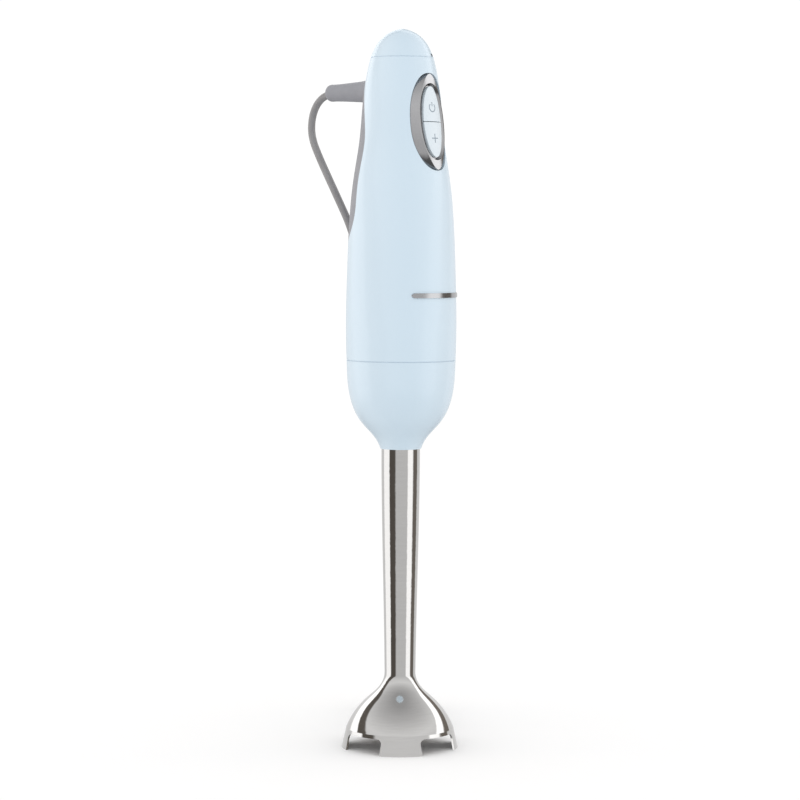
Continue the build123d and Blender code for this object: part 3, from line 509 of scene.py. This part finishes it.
def hank_points():
    """Outer turn on the upper layer, outer and inner on the lower one, and inner on the upper one again.

    A turn's points are numbered from 0 at the waist to 21. Point 11 is the waist again, between the far
    loop and the near one. The last turn ends at point 12, where it rises to the tail.
    """
    first = hank_turn(lambda k: OUTER_TURN, lambda k: ease(k, 17, 22, UPPER, LOWER))
    second = hank_turn(lambda k: mixed(ease(k, 15, 21, 0, 1)), lambda k: LOWER)
    third = hank_turn(lambda k: INNER_TURN, lambda k: ease(k, 11, 17, LOWER, UPPER))
    fourth = hank_turn(lambda k: INNER_TURN, lambda k: ease(k, 11, 13, UPPER, UPPER + CORD_D))
    return first + second + third + fourth[:13]


def add_cord():
    points = [Vector(p) for p in ROUTE_HIGH] + [on_bearing(*p) for p in ROUTE_LOW]
    points += hank_points() + [on_bearing(*p) for p in ROUTE_TAIL]
    curve = bpy.data.curves.new("supply_cord", "CURVE")
    curve.dimensions = "3D"
    spline = curve.splines.new("NURBS")
    spline.points.add(len(points) - 1)
    for point, place in zip(spline.points, points):
        point.co = (*place, 1)
    spline.order_u = 3
    spline.use_endpoint_u = True
    spline.resolution_u = 10
    curve.bevel_depth = CORD_D / 2 * MM
    curve.bevel_resolution = 8
    curve.use_fill_caps = True
    curve.materials.append(FINISHES["cord_grey"])
    cord = bpy.data.objects.new("supply_cord", curve)
    scene.collection.objects.link(cord)
    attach(cord, "handle")
    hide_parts("power_cord", "cord_hank", "cord_tail")


# ---------------------------------------------------------------- tie and plug
def bearing_ring(bm, away, half_w, half_h, z, power, count, floor=0.0):
    """Superellipse across the hank's bearing, flattened where it would pass below floor."""
    ring = []
    for k in range(count):
        a = 2 * pi * k / count
        side = half_w * abs(cos(a)) ** (2 / power) * (1 if cos(a) > 0 else -1)
        rise = max(half_h * abs(sin(a)) ** (2 / power) * (1 if sin(a) > 0 else -1), floor - z)
        ring.append(bm.verts.new(on_bearing(away * MM, side * MM, (z + rise) * MM)))
    return ring


TIE_WIDE, TIE_THICK = 5.0, 0.7
TIE_HALF_W, TIE_HALF_H = 9.6, 4.35
TIE_TOP_IN = 0.2  # the strap is this much thinner on top
TIE_EDGE = 0.25
TIE_ROUND = 0.1
# how high its inside, its edges and its outside stay over the floor
TIE_FOOT, TIE_EDGE_FOOT, TIE_OUTER_FOOT = 0.3, 0.1, 0.05
TAB_IN, TAB_RISE = 0.4, 0.3  # the tab, in from the strap's edges and above its top
TAB_HALF_W, TAB_HALF_H = 4.0, 0.45


def add_tie():
    """Strap round the hank's waist, with its end lapped over in a small tab."""
    mid = CORD_D
    bm = bmesh.new()
    near, far = HANK_WAIST - TIE_WIDE / 2, HANK_WAIST + TIE_WIDE / 2
    outer_w, outer_h = TIE_HALF_W + TIE_THICK, TIE_HALF_H + TIE_THICK - TIE_TOP_IN
    inner = (TIE_HALF_W, TIE_HALF_H, TIE_FOOT)
    edge = (outer_w - TIE_EDGE, outer_h - TIE_EDGE, TIE_EDGE_FOOT)
    outer = (outer_w, outer_h, TIE_OUTER_FOOT)
    section = [(near, inner), (near, edge), (near + TIE_EDGE, outer), (far - TIE_EDGE, outer), (far, edge),
               (far, inner)]
    rings = [bearing_ring(bm, away, w, h, mid, power=5, count=64, floor=floor)
             for away, (w, h, floor) in section]
    bridge(bm, rings, closed=True)
    tab_z = mid + outer_h + TAB_RISE
    tab = [bearing_ring(bm, away, TAB_HALF_W, TAB_HALF_H, tab_z, power=6, count=24)
           for away in (near + TAB_IN, far - TAB_IN)]
    bridge(bm, tab)
    for ring in tab:
        bm.faces.new(ring)
    tie = mesh_object("hank_tie", bm)
    tie.modifiers.new("round", "BEVEL").width = TIE_ROUND * MM
    placed(tie, FINISHES["rubber_black"], "handle")
    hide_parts("cord_tie")
    return tie


PLUG_NEAR, PLUG_Z = 88.0, 15.55  # where its boot meets its body, out from the axis, and its height
# the plug's sections: (along, half width, half height, squareness)
PLUG_SECTIONS = [(-6.0, 2.5, 2.5, 2), (-5.6, 3.0, 3.0, 2), (0.0, 3.5, 3.5, 2), (2.0, 4.1, 4.0, 2.1),
                 (4.5, 5.8, 5.2, 2.4), (7.5, 7.9, 6.1, 3), (10.5, 8.8, 6.45, 3.6),
                 (14.0, 8.6, 6.4, 3.8), (18.0, 8.75, 6.45, 4), (22.0, 8.95, 6.48, 4.2),
                 (25.2, 9.0, 6.5, 4.2), (25.8, 8.8, 6.3, 4.2), (26.0, 8.4, 5.9, 4.2)]
BOOT_GROOVES = (-4.6, -3.2, -1.8)
GROOVE_SECTIONS = [(-0.45, 3.1), (-0.35, 2.65), (0.35, 2.65), (0.45, 3.2)]  # (along, radius)


def add_plug():
    """Moulded plug: grooved boot, waisted sides and a flat face."""
    grooves = [(groove + along, r, r, 2) for groove in BOOT_GROOVES for along, r in GROOVE_SECTIONS]
    bm = bmesh.new()
    rings = [bearing_ring(bm, PLUG_NEAR + along, w, h, PLUG_Z, power, count=48)
             for along, w, h, power in sorted(PLUG_SECTIONS + grooves)]
    bridge(bm, rings)
    bm.faces.new(rings[0])
    bm.faces.new(rings[-1])
    plug = mesh_object("moulded_plug", bm)
    smooth = plug.modifiers.new("smooth", "SUBSURF")
    smooth.levels = smooth.render_levels = 1
    placed(plug, FINISHES["cord_grey"], "handle")
    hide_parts("plug_body")
    return plug


PLUG_FACE = PLUG_NEAR + PLUG_SECTIONS[-1][0]
PRONG_GAP, PRONG_W, PRONG_T, PRONG_L = 12.7, 6.3, 1.5, 16.0
PRONG_ROOT = 5  # how far the blade reaches into the plug
# the tapered tip, from its outer end: (back from the end, in from the side)
PRONG_TIP = [(0, 1.7), (0.5, 1.1), (2.0, 0)]
PRONG_HOLE_R, PRONG_HOLE_AT, PRONG_HOLE_POINTS = 1.6, 12.2, 24
PRONG_BEVEL = 0.15


def add_prong(number, side):
    """Flat blade with a tapered tip and a round hole."""
    half = PRONG_W / 2
    upper = [(PRONG_L - back, half - inwards) for back, inwards in PRONG_TIP] + [(-PRONG_ROOT, half)]
    plan = [(x, -y) for x, y in reversed(upper)] + upper
    turns = [2 * pi * k / PRONG_HOLE_POINTS for k in range(PRONG_HOLE_POINTS)]
    hole = [(PRONG_HOLE_AT + PRONG_HOLE_R * cos(a), PRONG_HOLE_R * sin(a)) for a in turns]
    curve = bpy.data.curves.new(f"plug_prong_{number}", "CURVE")
    curve.dimensions = "2D"
    for outline in (plan, hole):
        spline = curve.splines.new("POLY")
        spline.points.add(len(outline) - 1)
        for point, (x, y) in zip(spline.points, outline):
            point.co = (x * MM, y * MM, 0, 1)
        spline.use_cyclic_u = True
    curve.fill_mode = "BOTH"
    curve.extrude = (PRONG_T / 2 - PRONG_BEVEL) * MM
    curve.bevel_depth = PRONG_BEVEL * MM
    flat = bpy.data.objects.new("flat", curve)
    mesh = bpy.data.meshes.new_from_object(flat)
    bpy.data.objects.remove(flat)
    along = on_bearing(1, 0, 0)
    across = on_bearing(0, 1, 0)
    turn = Matrix(((along.x, 0, across.x, 0), (along.y, 0, across.y, 0), (0, 1, 0, 0), (0, 0, 0, 1)))
    mesh.transform(turn)
    mesh.transform(Matrix.Translation(on_bearing(PLUG_FACE * MM, side * MM, PLUG_Z * MM)))
    prong = bpy.data.objects.new(f"plug_prong_{number}", mesh)
    scene.collection.objects.link(prong)
    return placed(prong, PRONG_BRASS, "handle")


def add_prongs():
    prongs = [add_prong(k + 1, side) for k, side in enumerate((-PRONG_GAP / 2, PRONG_GAP / 2))]
    for prong in prongs:
        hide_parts("plug_blades")
    return prongs


add_camera()
add_world()
add_floor()
add_dome()
add_side_lamps()
paint_cad_nodes()
add_seam_lip("seam_lip_upper", "speed_dial", "handle_shell", "handle", UPPER_SEAM_DEEP)
add_seam_lip("seam_lip_lower", "handle_shell", "foot_collar", "handle", LOWER_SEAM_DEEP)
add_power_icon()
add_plus_icon()
with_cord = [add_tie(), add_plug(), *add_prongs(), nodes["strain_relief"]]
add_cord()
scene.view_settings.view_transform = "Standard"

bpy.context.view_layer.update()
